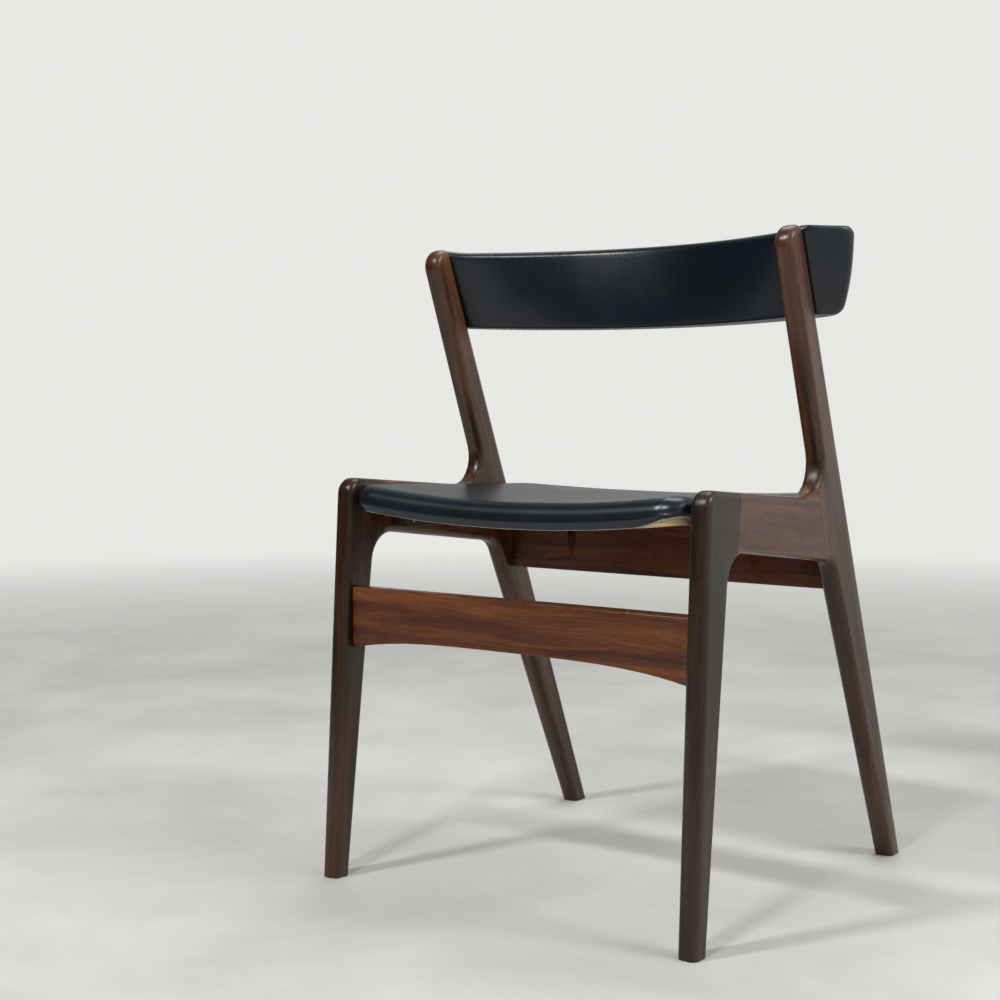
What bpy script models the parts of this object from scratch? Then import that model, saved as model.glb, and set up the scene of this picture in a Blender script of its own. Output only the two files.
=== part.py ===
"""Dining chair with two flat side frames, a dished seat and a curved padded backrest.

Metres, +Z up, front towards -Y, origin on the floor under the middle of the frame.
Each side frame is a front leg, a side rail and a long slanted rear post, dowelled
together. Depths along the chair are measured back from the front of the front feet.
"""
import math

import bmesh
import bpy
from mathutils import Matrix, Vector

CLEARANCE = 0.0003

# Side frames: edges in profile are straight lines, given as (value at zero, slope).
HEIGHT = 0.730
FRAME_DEPTH = 0.500
FRAME_X = 0.2335
MEMBER_WIDTH = 0.023
EDGE_RADIUS = 0.0078
FOOT_EASE = 0.0018
LEG_FRONT = (0.0, 0.0545)
LEG_REAR = (0.0246, 0.1146)
POST_REAR = (FRAME_DEPTH, -0.3975)
POST_FRONT_BELOW = (0.471, -0.466)
POST_FRONT_ABOVE = (0.444, -0.368)
RAIL_TOP = (0.4605, -0.078)
RAIL_UNDERSIDE = (0.404, -0.121)
POST_TOP_SLOPE = 0.22
LEG_SEAM = (0.0484, 0.087)
POST_SEAM = (0.4125, -0.343)
LEG_TOP_RADIUS = 0.018
POST_TOP_FRONT_RADIUS = 0.020
POST_TOP_REAR_RADIUS = 0.0085
UPPER_FILLET = 0.034
FRONT_ARCH_FILLET = 0.034
REAR_ARCH_FILLET = 0.028
SPLAY_PIVOT_Z = 0.42
FRONT_LEG_SPLAY = -0.0064
REAR_POST_SPLAY = 0.0107

# Cross pieces.
STRETCHER_HALF = 0.2221
STRETCHER_FRONT = 0.028
STRETCHER_THICKNESS = 0.019
STRETCHER_TOP_Z = 0.3335
STRETCHER_ARCH_Z = 0.2775
STRETCHER_ARCH_DROP = 0.0138
STRETCHER_ARCH_POWER = 3.6
STRETCHER_EDGE = 0.0035
REAR_RAIL_HALF = 0.2206
REAR_RAIL_FRONT = 0.330
REAR_RAIL_THICKNESS = 0.018
REAR_RAIL_BOTTOM_Z = 0.3335
REAR_RAIL_TOP_Z = 0.4066
REAR_RAIL_SHOULDER_Z = 0.381
REAR_RAIL_TOP_THICKNESS = 0.0095
REAR_RAIL_EDGE = 0.0015

# Pocket recesses in the front face of the rear rail.
POCKET_X = 0.128
POCKET_RADIUS = 0.006
POCKET_TILT = math.radians(14)
POCKET_MID_Z = 0.374
POCKET_TOP_Z = 0.392
POCKET_LENGTH = 0.050
POCKET_SCREW_DEPTH = 0.336
POCKET_SCREW_Z = 0.3895

# Seat: a dished board, a foam pad and a cover that wraps the edges.
SEAT_HALF = 0.218
SEAT_FRONT = 0.016
SEAT_REAR = 0.352
SEAT_CORNER = 0.032
SEAT_UNDERSIDE_Z = 0.4098
SEAT_REAR_DROP = 0.002
SEAT_DISH_FRONT = 0.30
SEAT_DISH_REAR = 0.10
BOARD_THICKNESS = 0.0095
SEAT_THICKNESS = 0.029
SEAT_TOP_RADIUS = 0.016
SEAT_TUCK = 0.003
COVER_THICKNESS = 0.0012
FOAM_GAP = 0.0009

# Seat blocks inside the side rails.
BLOCK_THICKNESS = 0.024
BLOCK_FRONT = 0.096
BLOCK_REAR = 0.156
BLOCK_BOTTOM_Z = 0.3985
BLOCK_TOP_Z = 0.4172
BLOCK_EDGE = 0.001
RAIL_SCREW_SHIFT = 0.018
RAIL_SCREW_Z = 0.4075

# Backrest band: a curved padded board bolted behind the posts.
BAND_BOTTOM_Z = 0.637
BAND_TOP_Z = 0.7265
BAND_CENTRE_DROP = 0.0055
BAND_HALF_FRONT = 0.2485
BAND_CONTACT_HALF = 0.2365
BAND_SAG_TOP = 0.085
BAND_SAG_BOTTOM = 0.045
BAND_REAR_TOP = (0.2885, 0.260, 0.074)
BAND_REAR_BOTTOM = (0.2735, 0.2715, 0.0585)
BAND_CORNER = 0.007
BAND_END_RADIUS = 0.004
BAND_END_ROOM = 0.12
BOARD_ROUND = 0.001
BAND_STATIONS = 24
REAR_PAD_THICKNESS = 0.005
CORE_THICKNESS = 0.009
LINER_THICKNESS = 0.0008
LINER_MARGIN = 0.005
HOLLOW_OVERRUN = 0.002

# Fasteners: (radius, position along the axis) from the head to the tip.
DOWEL = ((0.004, -0.017), (0.004, 0.017))
SHORT_DOWEL = ((0.004, -0.012), (0.004, 0.012))
POCKET_SCREW = ((0.0035, 0.0), (0.0035, 0.0025), (0.0019, 0.0025), (0.0019, 0.0260))
BLOCK_SCREW = ((0.0035, 0.0), (0.0035, 0.0025), (0.0018, 0.0025), (0.0018, 0.0260))
RAIL_SCREW = ((0.0035, 0.0), (0.0035, 0.0025), (0.0018, 0.0025), (0.0018, 0.0340))
LEG_DOWEL_Z = (0.438, 0.407)
POST_DOWEL_Z = (0.428, 0.388)
STRETCHER_DOWEL_Z = (0.318, 0.287)
REAR_RAIL_DOWEL_Z = (0.379, 0.350)
REAR_RAIL_DOWEL_DEPTH = 0.008
BACK_BOLT_RADIUS = 0.003
BACK_BOLT_GRIP = 0.012
BACK_BOLT_COVER = 0.0128
BACK_BOLT_Z = (0.700, 0.662)

# Mesh density.
SHARP_ANGLE = math.radians(35)
ARC_STEPS = 8
EDGE_STEPS = 4
RAIL_EDGE_STEPS = 2
BLOCK_EDGE_STEPS = 1
SOFT_STEPS = 3
ROUND_STEPS = 14
CORNER_STEPS = 4
SIDE_STEPS = 6
ARCH_STEPS = 9
SEAT_SCALES = (0.25, 0.5, 0.75, 1.0)

SIDES = (("left", -1), ("right", 1))

WOOD_LEG = ("wood_leg", (0.058, 0.022, 0.012), 0.38, 0.0)
WOOD_RAIL = ("wood_rail", (0.110, 0.048, 0.026), 0.40, 0.0)
WOOD_STRETCHER = ("wood_stretcher", (0.105, 0.030, 0.013), 0.36, 0.0)
WOOD_BLOCK = ("wood_block", (0.075, 0.030, 0.016), 0.60, 0.0)
DOWEL_WOOD = ("dowel_wood", (0.50, 0.36, 0.20), 0.70, 0.0)
PLYWOOD = ("plywood", (0.56, 0.43, 0.27), 0.65, 0.0)
FOAM = ("foam", (0.62, 0.52, 0.28), 0.95, 0.0)
VINYL = ("vinyl", (0.006, 0.012, 0.030), 0.36, 0.0)
LINER = ("liner", (0.45, 0.45, 0.43), 0.85, 0.0)
STEEL = ("steel", (0.55, 0.55, 0.53), 0.35, 1.0)


def clear_scene():
    """Start from an empty scene."""
    for item in list(bpy.data.objects):
        bpy.data.objects.remove(item, do_unlink=True)


def material(spec):
    """The shared material of one substance."""
    name, colour, roughness, metallic = spec
    found = bpy.data.materials.get(name)
    if found:
        return found
    made = bpy.data.materials.new(name)
    made.use_nodes = True
    shader = made.node_tree.nodes["Principled BSDF"]
    shader.inputs["Base Color"].default_value = (*colour, 1.0)
    shader.inputs["Roughness"].default_value = roughness
    shader.inputs["Metallic"].default_value = metallic
    return made


def add_object(name, bm, spec, parent):
    """Turn a finished bmesh into a named object with smooth, outward round faces."""
    bmesh.ops.recalc_face_normals(bm, faces=bm.faces)
    mesh = bpy.data.meshes.new(name)
    bm.to_mesh(mesh)
    bm.free()
    mesh.shade_smooth()
    mesh.set_sharp_from_angle(angle=SHARP_ANGLE)
    mesh.materials.append(material(spec))
    item = bpy.data.objects.new(name, mesh)
    bpy.context.scene.collection.objects.link(item)
    item.parent = parent
    return item


def back(depth):
    """World Y of a depth measured back from the front feet."""
    return depth - FRAME_DEPTH / 2


def along(line, position):
    """Value of a straight edge at a height or a depth."""
    return line[0] + line[1] * position


def edge_by_height(line):
    """Point and direction of an edge whose depth is given by its height."""
    return Vector((0.0, line[0], 0.0)), Vector((0.0, line[1], 1.0))


def edge_by_depth(line):
    """Point and direction of an edge whose height is given by its depth."""
    return Vector((0.0, 0.0, line[0])), Vector((0.0, 1.0, line[1]))


def crossing(first, second):
    """Where two edges of the profile cross."""
    (p, d), (q, e) = first, second
    scale = ((q.y - p.y) * e.z - (q.z - p.z) * e.y) / (d.y * e.z - d.z * e.y)
    return p + d * scale


def round_corners(corners, radii, steps):
    """Closed outline through the corners, each replaced by an arc of its radius."""
    points = []
    for index, corner in enumerate(corners):
        radius = radii[index]
        if radius == 0.0:
            points.append(corner.copy())
            continue
        to_previous = (corners[index - 1] - corner).normalized()
        to_next = (corners[(index + 1) % len(corners)] - corner).normalized()
        half_angle = to_previous.angle(to_next) / 2
        centre = corner + (to_previous + to_next).normalized() * (radius / math.sin(half_angle))
        tangent = radius / math.tan(half_angle)
        start = (corner + to_previous * tangent - centre).normalized()
        end = (corner + to_next * tangent - centre).normalized()
        for step in range(steps + 1):
            points.append(centre + start.slerp(end, step / steps) * radius)
    return points


def loft(rings):
    """Closed solid through rings of equal point count, with both ends filled."""
    bm = bmesh.new()
    loops = [[bm.verts.new(point) for point in ring] for ring in rings]
    for lower, upper in zip(loops, loops[1:]):
        for index in range(len(lower)):
            following = (index + 1) % len(lower)
            bm.faces.new((lower[index], lower[following], upper[following], upper[index]))
    bm.faces.new(reversed(loops[0]))
    bm.faces.new(loops[-1])
    return bm


def extrude_outline(outline, shift):
    """Solid between a flat outline and the same outline moved by a shift."""
    return loft([outline, [point + shift for point in outline]])


def bevel(bm, edges, radius, steps):
    """Round a set of edges."""
    bmesh.ops.bevel(
        bm, geom=edges, offset=radius, segments=steps, profile=0.5,
        affect="EDGES", clamp_overlap=False,
    )


def keep_side(bm, point, normal):
    """Cut a solid by a plane and keep the half that the normal points away from."""
    geometry = bm.verts[:] + bm.edges[:] + bm.faces[:]
    cut = bmesh.ops.bisect_plane(
        bm, geom=geometry, plane_co=point, plane_no=normal, clear_outer=True,
    )
    rim = [item for item in cut["geom_cut"] if isinstance(item, bmesh.types.BMEdge)]
    bmesh.ops.edgeloop_fill(bm, edges=rim)


def turned_rings(profile, place):
    """Rings of a turned solid whose axis is the local Z axis of a placement."""
    rings = []
    for radius, height in profile:
        ring = []
        for step in range(ROUND_STEPS):
            angle = math.tau * step / ROUND_STEPS
            spot = Vector((radius * math.cos(angle), radius * math.sin(angle), height))
            ring.append(place @ spot)
        rings.append(ring)
    return rings


def grown(profile):
    """A turned profile enlarged by the clearance on every face."""
    first_radius, first_height = profile[0]
    enlarged = [(first_radius + CLEARANCE, first_height - CLEARANCE)]
    for radius, height in profile[1:]:
        enlarged.append((radius + CLEARANCE, height + CLEARANCE))
    return enlarged


def facing(origin, direction):
    """Placement at a point with its Z axis along a direction."""
    turn = Vector(direction).to_track_quat("Z", "Y")
    return Matrix.Translation(origin) @ turn.to_matrix().to_4x4()


def cut(part, bm, name):
    """Subtract a solid from a part with a Boolean and a hidden cutter."""
    cutter = add_object(name, bm, STEEL, part.parent)
    cutter.hide_render = True
    cutter.display_type = "WIRE"
    subtract(part, cutter)
    return cutter


def subtract(part, cutter):
    """Add one Boolean difference to a part."""
    modifier = part.modifiers.new(cutter.name, "BOOLEAN")
    modifier.operation = "DIFFERENCE"
    modifier.solver = "EXACT"
    modifier.object = cutter


def fasten(name, profile, place, spec, parts):
    """A turned fastener and its clearance hole through each joined part."""
    add_object(name, loft(turned_rings(profile, place)), spec, parts[0].parent)
    cutter = cut(parts[0], loft(turned_rings(grown(profile), place)), name + "_hole")
    for part in parts[1:]:
        subtract(part, cutter)


def frame_outline():
    """Profile of a whole side frame as (0, Y, Z) points."""
    leg_front = edge_by_height(LEG_FRONT)
    leg_rear = edge_by_height(LEG_REAR)
    post_rear = edge_by_height(POST_REAR)
    front_below = edge_by_height(POST_FRONT_BELOW)
    front_above = edge_by_height(POST_FRONT_ABOVE)
    rail_top = edge_by_depth(RAIL_TOP)
    underside = edge_by_depth(RAIL_UNDERSIDE)
    floor = edge_by_depth((0.0, 0.0))
    top_depth = along(POST_REAR, HEIGHT)
    post_top = (Vector((0.0, top_depth, HEIGHT)), Vector((0.0, 1.0, POST_TOP_SLOPE)))
    corners = (
        (crossing(floor, leg_front), 0.0),
        (crossing(leg_front, rail_top), LEG_TOP_RADIUS),
        (crossing(rail_top, front_above), UPPER_FILLET),
        (crossing(front_above, post_top), POST_TOP_FRONT_RADIUS),
        (crossing(post_top, post_rear), POST_TOP_REAR_RADIUS),
        (crossing(post_rear, floor), 0.0),
        (crossing(floor, front_below), 0.0),
        (crossing(front_below, underside), REAR_ARCH_FILLET),
        (crossing(underside, leg_rear), FRONT_ARCH_FILLET),
        (crossing(leg_rear, floor), 0.0),
    )
    outline = round_corners([c for c, _ in corners], [r for _, r in corners], ARC_STEPS)
    return [Vector((0.0, back(p.y), p.z)) for p in outline]


def shifted_edge(start, end, distance):
    """Edge of the profile moved inwards; a floor edge only lifts close to the sides."""
    direction = (end - start).normalized()
    if max(start.z, end.z) < CLEARANCE:
        distance = max(0.0, distance - EDGE_RADIUS + FOOT_EASE)
    inward = Vector((0.0, direction.z, -direction.y)) * distance
    return start + inward, direction


def inset_outline(outline, distance):
    """Profile moved inwards by a distance."""
    moved = []
    for index, point in enumerate(outline):
        following = outline[(index + 1) % len(outline)]
        before = shifted_edge(outline[index - 1], point, distance)
        after = shifted_edge(point, following, distance)
        moved.append(crossing(before, after))
    return moved


def side_frame():
    """A whole side frame in profile, centred on X = 0, with its edges rounded."""
    outline = frame_outline()
    sections = []
    for step in range(EDGE_STEPS + 1):
        angle = math.pi / 2 * step / EDGE_STEPS
        x = MEMBER_WIDTH / 2 - EDGE_RADIUS * (1 - math.cos(angle))
        sections.append((x, EDGE_RADIUS * (1 - math.sin(angle))))
    rings = []
    for side, half in ((-1, sections), (1, sections[::-1])):
        for x, inset in half:
            shift = Vector((side * x, 0.0, 0.0))
            rings.append([point + shift for point in inset_outline(outline, inset)])
    bm = loft(rings)
    soles = [face for face in bm.faces if max(v.co.z for v in face.verts) < CLEARANCE]
    bmesh.ops.dissolve_faces(bm, faces=soles)
    return bm


def splay(bm, side, rate):
    """Move a member to its side and lean it outwards by a rate per height."""
    for vertex in bm.verts:
        vertex.co.x += side * (FRAME_X + rate * (vertex.co.z - SPLAY_PIVOT_Z))


def seam_plane(line, offset, towards):
    """Cutting plane of a seam, moved back by an offset, facing forwards or backwards."""
    point = Vector((0.0, back(line[0] + offset), 0.0))
    normal = Vector((0.0, 1.0, -line[1])) * towards
    return point, normal


def build_side_frames(root):
    """Front leg, side rail and rear post of both side frames."""
    frames = {}
    gap = CLEARANCE / 2
    for label, side in SIDES:
        leg = side_frame()
        keep_side(leg, *seam_plane(LEG_SEAM, -gap, 1))
        splay(leg, side, FRONT_LEG_SPLAY)
        rail = side_frame()
        keep_side(rail, *seam_plane(LEG_SEAM, gap, -1))
        keep_side(rail, *seam_plane(POST_SEAM, -gap, 1))
        splay(rail, side, 0.0)
        post = side_frame()
        keep_side(post, *seam_plane(POST_SEAM, gap, -1))
        splay(post, side, REAR_POST_SPLAY)
        frames[label] = (
            add_object(f"{label}_front_leg", leg, WOOD_LEG, root),
            add_object(f"{label}_side_rail", rail, WOOD_RAIL, root),
            add_object(f"{label}_rear_post", post, WOOD_RAIL, root),
        )
    return frames


def build_stretcher(root):
    """Front stretcher with an arched lower edge."""
    lower = []
    for step in range(-ARCH_STEPS, ARCH_STEPS + 1):
        share = math.sin(math.pi / 2 * step / ARCH_STEPS)
        drop = STRETCHER_ARCH_DROP * abs(share) ** STRETCHER_ARCH_POWER
        lower.append(Vector((share * STRETCHER_HALF, 0.0, STRETCHER_ARCH_Z - drop)))
    upper = [Vector((STRETCHER_HALF, 0.0, STRETCHER_TOP_Z))]
    upper.append(Vector((-STRETCHER_HALF, 0.0, STRETCHER_TOP_Z)))
    front = Vector((0.0, back(STRETCHER_FRONT), 0.0))
    outline = [point + front for point in lower + upper]
    bm = extrude_outline(outline, Vector((0.0, STRETCHER_THICKNESS, 0.0)))
    long_edges = []
    for edge in bm.edges:
        start, end = (vertex.co for vertex in edge.verts)
        along_width = abs(start.x - end.x) > CLEARANCE
        if along_width and abs(start.y - end.y) < CLEARANCE:
            long_edges.append(edge)
    bevel(bm, long_edges, STRETCHER_EDGE, EDGE_STEPS)
    return add_object("front_stretcher", bm, WOOD_STRETCHER, root)


def build_rear_rail(root):
    """Rear seat rail with its upper back edge planed to the slope of the posts."""
    front = back(REAR_RAIL_FRONT)
    rear = front + REAR_RAIL_THICKNESS
    corners = (
        (front, REAR_RAIL_BOTTOM_Z),
        (rear, REAR_RAIL_BOTTOM_Z),
        (rear, REAR_RAIL_SHOULDER_Z),
        (front + REAR_RAIL_TOP_THICKNESS, REAR_RAIL_TOP_Z),
        (front, REAR_RAIL_TOP_Z),
    )
    outline = [Vector((-REAR_RAIL_HALF, y, z)) for y, z in corners]
    bm = extrude_outline(outline, Vector((REAR_RAIL_HALF * 2, 0.0, 0.0)))
    long_edges = []
    for edge in bm.edges:
        if abs(edge.verts[0].co.x - edge.verts[1].co.x) > CLEARANCE:
            long_edges.append(edge)
    bevel(bm, long_edges, REAR_RAIL_EDGE, RAIL_EDGE_STEPS)
    rail = add_object("rear_seat_rail", bm, WOOD_STRETCHER, root)
    for label, side in SIDES:
        mouth = Vector((side * POCKET_X, front, POCKET_MID_Z))
        axis = Vector((0.0, math.sin(POCKET_TILT), math.cos(POCKET_TILT)))
        top = (POCKET_TOP_Z - POCKET_MID_Z) / math.cos(POCKET_TILT)
        profile = ((POCKET_RADIUS, top - POCKET_LENGTH), (POCKET_RADIUS, top))
        recess = loft(turned_rings(profile, facing(mouth, axis)))
        cut(rail, recess, f"{label}_pocket_recess")
    return rail


def seat_underside(x, depth):
    """Height of the underside of the dished seat board."""
    share = (depth - SEAT_FRONT) / (SEAT_REAR - SEAT_FRONT)
    dish = SEAT_DISH_FRONT + (SEAT_DISH_REAR - SEAT_DISH_FRONT) * share
    return SEAT_UNDERSIDE_Z - SEAT_REAR_DROP * share + dish * x * x


def seat_ring(inset, height, scale=1.0):
    """Rounded rectangle of the seat plan, lifted by a height over the dished underside."""
    half = SEAT_HALF - inset
    middle = (SEAT_FRONT + SEAT_REAR) / 2
    reach = (SEAT_REAR - SEAT_FRONT) / 2 - inset
    radius = SEAT_CORNER - inset
    ring = []
    for turn in range(4):
        start = turn * math.pi / 2
        sign_x = 1 if turn in (0, 3) else -1
        sign_y = 1 if turn in (0, 1) else -1
        arc = []
        for step in range(CORNER_STEPS + 1):
            angle = start + math.pi / 2 * step / CORNER_STEPS
            x = sign_x * (half - radius) + radius * math.cos(angle)
            y = sign_y * (reach - radius) + radius * math.sin(angle)
            arc.append(Vector((x, y, 0.0)))
        if ring:
            ring += side_points(ring[-1], arc[0])
        ring += arc
    ring += side_points(ring[-1], ring[0])
    placed = []
    for point in ring:
        x = point.x * scale
        depth = middle + point.y * scale
        placed.append(Vector((x, back(depth), seat_underside(x, depth) + height)))
    return placed


def side_points(start, end):
    """Points between two corners of the seat plan, both ends left out."""
    return [start.lerp(end, step / SIDE_STEPS) for step in range(1, SIDE_STEPS)]


def crown_rings(inset, top, radius):
    """Rings over a rounded top edge and inwards to the middle of the seat."""
    rings = []
    for step in range(SOFT_STEPS + 1):
        angle = math.pi / 2 * step / SOFT_STEPS
        lift = top - radius + radius * math.sin(angle)
        rings.append(seat_ring(inset + radius * (1 - math.cos(angle)), lift))
    for scale in reversed(SEAT_SCALES[:-1]):
        rings.append(seat_ring(inset + radius, top, scale))
    return rings


def slab_rings(inset, bottom, top):
    """Rings of a flat-sided slab that follows the dish."""
    lower = [seat_ring(inset, bottom, scale) for scale in SEAT_SCALES]
    upper = [seat_ring(inset, top, scale) for scale in reversed(SEAT_SCALES)]
    return lower + upper


def build_seat(root):
    """Seat board, foam pad and wrapped cover."""
    wrap = COVER_THICKNESS + CLEARANCE
    board = loft(slab_rings(SEAT_TUCK + wrap, 0.0, BOARD_THICKNESS))
    foam_floor = BOARD_THICKNESS + FOAM_GAP
    foam_top = SEAT_THICKNESS - COVER_THICKNESS - FOAM_GAP
    foam_rings = [seat_ring(wrap, foam_floor, scale) for scale in SEAT_SCALES]
    foam_rings += crown_rings(wrap, foam_top, SEAT_TOP_RADIUS - wrap)
    outer = [seat_ring(SEAT_TUCK, 0.0), seat_ring(0.0, BOARD_THICKNESS)]
    outer += crown_rings(0.0, SEAT_THICKNESS, SEAT_TOP_RADIUS)
    under = SEAT_THICKNESS - COVER_THICKNESS
    inner = [seat_ring(SEAT_TUCK + COVER_THICKNESS, 0.0), seat_ring(COVER_THICKNESS, BOARD_THICKNESS)]
    inner += crown_rings(COVER_THICKNESS, under, SEAT_TOP_RADIUS - COVER_THICKNESS)
    cover = loft(list(reversed(outer)) + inner)
    seat_board = add_object("seat_board", board, PLYWOOD, root)
    add_object("seat_foam", loft(foam_rings), FOAM, root)
    add_object("seat_cover", cover, VINYL, root)
    return seat_board


def band_corners(share):
    """Front and rear corners of the backrest section, below and above."""
    bulge = 1 - share * share
    x_front = BAND_HALF_FRONT * share
    contact = max(0.0, 1 - (x_front / BAND_CONTACT_HALF) ** 2)
    levels = (
        (BAND_BOTTOM_Z, BAND_CENTRE_DROP, BAND_SAG_BOTTOM, BAND_REAR_BOTTOM),
        (BAND_TOP_Z, 0.0, BAND_SAG_TOP, BAND_REAR_TOP),
    )
    corners = []
    for z, drop, sag, (rear_half, rear_end, rear_sag) in levels:
        front_depth = along(POST_REAR, z) + 2 * CLEARANCE + sag * contact
        rear_depth = rear_end + rear_sag * bulge
        height = z - drop * bulge
        corners.append(Vector((x_front, back(front_depth), height)))
        corners.append(Vector((rear_half * share, back(rear_depth), height)))
    return corners


def offset(start, end, distance):
    """Point between two faces; a negative distance, -0.0 too, counts from the end."""
    origin = end if math.copysign(1.0, distance) < 0 else start
    return origin + (end - start).normalized() * distance


def band_ring(share, near, far, low, high, radius):
    """Section of one layer, its four limits given as in offset."""
    front_bottom, rear_bottom, front_top, rear_top = band_corners(share)
    near_bottom = offset(front_bottom, rear_bottom, near)
    near_top = offset(front_top, rear_top, near)
    far_bottom = offset(front_bottom, rear_bottom, far)
    far_top = offset(front_top, rear_top, far)
    near_low = offset(near_bottom, near_top, low)
    near_high = offset(near_bottom, near_top, high)
    far_high = offset(far_bottom, far_top, high)
    far_low = offset(far_bottom, far_top, low)
    near_middle = near_low.lerp(near_high, 0.5)
    far_middle = far_low.lerp(far_high, 0.5)
    corners = (near_low, near_middle, near_high, far_high, far_middle, far_low)
    return round_corners(corners, (0.0, 0.0, radius, radius, 0.0, 0.0), SOFT_STEPS)


def band_shares(end_inset):
    """Evenly spread stations along the backrest, short of both ends."""
    reach = 1 - end_inset / BAND_HALF_FRONT
    half_count = BAND_STATIONS // 2
    return [reach * step / half_count for step in range(-half_count, half_count + 1)]


def rise(diagonal):
    """Positive where the outer end of a diagonal lies above its inner end."""
    first, second = (vertex.co for vertex in diagonal)
    return (abs(first.x) - abs(second.x)) * (first.z - second.z)


def band_solid(rings):
    """Loft whose twisted faces are split from low near the middle to high near the ends."""
    bm = loft(rings)
    for face in list(bm.faces):
        if len(face.verts) == 4:
            one, two, three, four = face.verts
            start, end = max(((one, three), (two, four)), key=rise)
            bmesh.utils.face_split(face, start, end)
    bmesh.ops.triangulate(bm, faces=bm.faces[:])
    return bm


def band_layer(near, far, low, high, radius):
    """Solid layer along the whole backrest, drawn in a little at both ends."""
    shares = band_shares(BAND_END_RADIUS)
    rings = [band_ring(share, near, far, low, high, radius) for share in shares]
    for end, inner in ((0, 1), (-1, -2)):
        pairs = zip(rings[end], rings[inner])
        rings[end] = [point.lerp(within, BAND_END_ROOM) for point, within in pairs]
    return band_solid(rings)


def band_envelope():
    """Outer shape of the backrest with rounded ends."""
    rounding = []
    for step in range(1, SOFT_STEPS + 1):
        angle = math.pi / 2 * step / SOFT_STEPS
        share = 1 - BAND_END_RADIUS * (1 - math.sin(angle)) / BAND_HALF_FRONT
        rounding.append((share, BAND_END_RADIUS * (1 - math.cos(angle))))
    stations = [(-share, inset) for share, inset in reversed(rounding)]
    stations += [(share, 0.0) for share in band_shares(BAND_END_RADIUS)]
    stations += rounding
    rings = []
    for share, inset in stations:
        rings.append(band_ring(share, inset, -inset, inset, -inset, BAND_CORNER))
    return band_solid(rings)


def band_hollow():
    """Space inside the backrest cover, open at the bottom."""
    radius = BAND_CORNER - COVER_THICKNESS
    inset = BAND_END_RADIUS - CLEARANCE
    rings = []
    for share in band_shares(inset):
        ring = band_ring(share, COVER_THICKNESS, -COVER_THICKNESS, 0.0, -COVER_THICKNESS, radius)
        ring[0] += (ring[0] - ring[1]).normalized() * HOLLOW_OVERRUN
        ring[-1] += (ring[-1] - ring[-2]).normalized() * HOLLOW_OVERRUN
        rings.append(ring)
    return band_solid(rings)


def build_backrest(root):
    """Bent core, two foam pads, wrapped cover and underside liner."""
    wrap = COVER_THICKNESS + CLEARANCE
    low = LINER_THICKNESS + 2 * CLEARANCE
    under_fold = -(wrap + BAND_CORNER)
    rear_pad_near = -(wrap + REAR_PAD_THICKNESS)
    core_far = rear_pad_near - CLEARANCE
    core_near = core_far - CORE_THICKNESS
    pad_far = core_near - CLEARANCE
    core = band_layer(core_near, core_far, low, under_fold, BOARD_ROUND)
    rear_pad = band_layer(rear_pad_near, -wrap, low, under_fold, BOARD_ROUND)
    front_pad = band_layer(wrap, pad_far, low, -wrap, BAND_CORNER - wrap)
    liner_top = CLEARANCE + LINER_THICKNESS
    liner = band_layer(LINER_MARGIN, -LINER_MARGIN, CLEARANCE, liner_top, 0.0)
    core_part = add_object("backrest_core", core, PLYWOOD, root)
    pad_part = add_object("backrest_front_pad", front_pad, FOAM, root)
    add_object("backrest_rear_pad", rear_pad, FOAM, root)
    cover_part = add_object("backrest_cover", band_envelope(), VINYL, root)
    add_object("backrest_liner", liner, LINER, root)
    cut(cover_part, band_hollow(), "backrest_hollow")
    return core_part, pad_part, cover_part


def build_block(root, label, side):
    """Seat block inside a side rail."""
    outer = FRAME_X - MEMBER_WIDTH / 2 - CLEARANCE
    width = Vector((-side * BLOCK_THICKNESS, 0.0, 0.0))
    corners = (
        (BLOCK_FRONT, BLOCK_BOTTOM_Z),
        (BLOCK_REAR, BLOCK_BOTTOM_Z),
        (BLOCK_REAR, BLOCK_TOP_Z),
        (BLOCK_FRONT, BLOCK_TOP_Z),
    )
    outline = [Vector((side * outer, back(depth), z)) for depth, z in corners]
    bm = extrude_outline(outline, width)
    bevel(bm, bm.edges[:], BLOCK_EDGE, BLOCK_EDGE_STEPS)
    return add_object(f"{label}_seat_block", bm, WOOD_BLOCK, root)


def dowel_frames(frames):
    """Dowels across both seams of each side frame."""
    for label, side in SIDES:
        leg, rail, post = frames[label]
        joints = (
            ("leg_dowel", LEG_SEAM, LEG_DOWEL_Z, leg),
            ("post_dowel", POST_SEAM, POST_DOWEL_Z, post),
        )
        for word, seam, heights, member in joints:
            for number, z in enumerate(heights, 1):
                centre = Vector((side * FRAME_X, back(along(seam, z)), z))
                name = f"{label}_{word}_{number}"
                place = facing(centre, (0.0, 1.0, 0.0))
                fasten(name, DOWEL, place, DOWEL_WOOD, (rail, member))


def dowel_cross_pieces(frames, stretcher, rear_rail):
    """Dowels from the stretcher and the rear rail into the side frames."""
    stretcher_depth = STRETCHER_FRONT + STRETCHER_THICKNESS / 2
    rail_depth = REAR_RAIL_FRONT + REAR_RAIL_DOWEL_DEPTH
    for label, side in SIDES:
        leg, _, post = frames[label]
        joints = (
            ("stretcher_dowel", STRETCHER_DOWEL_Z, stretcher_depth, stretcher, leg),
            ("rear_rail_dowel", REAR_RAIL_DOWEL_Z, rail_depth, rear_rail, post),
        )
        for word, heights, depth, piece, member in joints:
            for number, z in enumerate(heights, 1):
                centre = Vector((side * STRETCHER_HALF, back(depth), z))
                name = f"{label}_{word}_{number}"
                place = facing(centre, (side, 0.0, 0.0))
                fasten(name, SHORT_DOWEL, place, DOWEL_WOOD, (piece, member))


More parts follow.
